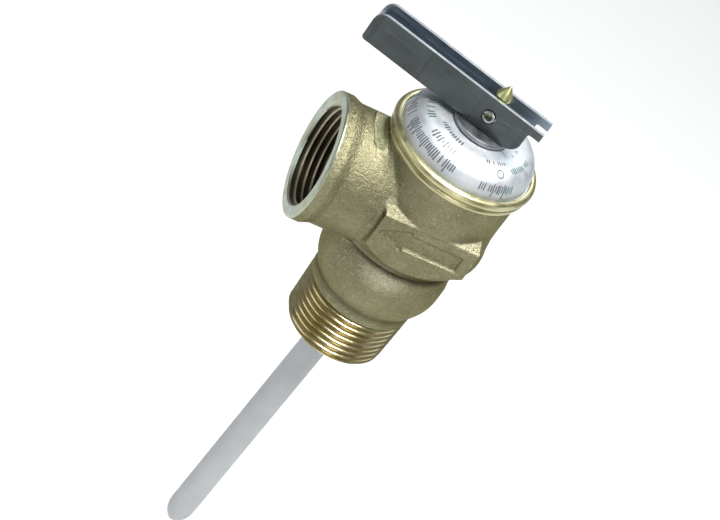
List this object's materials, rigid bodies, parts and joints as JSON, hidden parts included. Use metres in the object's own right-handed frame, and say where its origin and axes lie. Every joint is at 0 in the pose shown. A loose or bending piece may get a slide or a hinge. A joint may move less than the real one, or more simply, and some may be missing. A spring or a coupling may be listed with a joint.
{
  "type": "pressure relief valve",
  "caption": "Cast brass temperature and pressure relief valve with threaded inlet, side outlet, domed cap, folded test lever and coated thermostat probe.",
  "frame": {"origin": "on the valve's axis, at the lower end of the threaded inlet", "axes": "+Z along the valve's axis towards the test lever, -X out of the side outlet, -Y out of the wrench flat with the flow arrow"},
  "size_m": [0.0513, 0.0376, 0.1638],
  "materials": {
    "cast_brass": "sand cast, machined at the threads, outlet face and rim",
    "turned_brass": "turned",
    "pressed_steel": "plated",
    "lever_steel": "satin stainless sheet",
    "spring_steel": "drawn",
    "printed_aluminium": "satin, printed",
    "fibre_gasket": "compressed fibre",
    "seal_rubber": "matt",
    "probe_coating": "matt coating",
    "probe_copper": "drawn copper tube",
    "wax": "wax"
  },
  "bodies": {
    "casing": {"valve_body": "cast_brass", "bonnet_gasket": "fibre_gasket", "bonnet": "pressed_steel", "nameplate": "printed_aluminium", "probe_carrier": "turned_brass", "retaining_ring": "spring_steel", "probe_coating": "probe_coating", "probe_sheath": "probe_copper", "wax_charge": "wax", "seal_plug": "seal_rubber", "piston_guide": "turned_brass", "main_spring": "spring_steel"},
    "swivel": {"lever_washer": "pressed_steel"},
    "stem_group": {"stem": "turned_brass", "pivot_pin": "spring_steel", "spring_plate": "pressed_steel", "valve_disc": "turned_brass", "seat_seal": "seal_rubber", "seal_retainer": "pressed_steel", "disc_nut": "turned_brass"},
    "lever": {"test_lever": "lever_steel"},
    "thermostat_rod": {"push_rod": "pressed_steel"}
  },
  "joints": [
    {"name": "lever_swivel", "type": "hinge", "parent": "casing", "child": "swivel", "pos_m": [0, 0, 0.0708], "axis": [0, 0, 1], "continuous": true},
    {"name": "stem_lift", "type": "slide", "parent": "swivel", "child": "stem_group", "axis": [0, 0, 1], "range_m": [0, 0.00489], "stiffness_N_per_m": 8260, "deforming": ["main_spring"]},
    {"name": "lever_turn", "type": "hinge", "parent": "stem_group", "child": "lever", "pos_m": [0, 0, 0.07557], "axis": [0.4035, 0.915, 0], "range_deg": [0, 50]},
    {"name": "push_rod_slide", "type": "slide", "parent": "casing", "child": "thermostat_rod", "axis": [0.0335, -0.0148, 0.9993], "range_m": [0, 0.0014]}
  ],
  "couplings": [
    {"joint": "lever_turn", "follows": "stem_lift", "rad_per_m": 178.57}
  ]
}
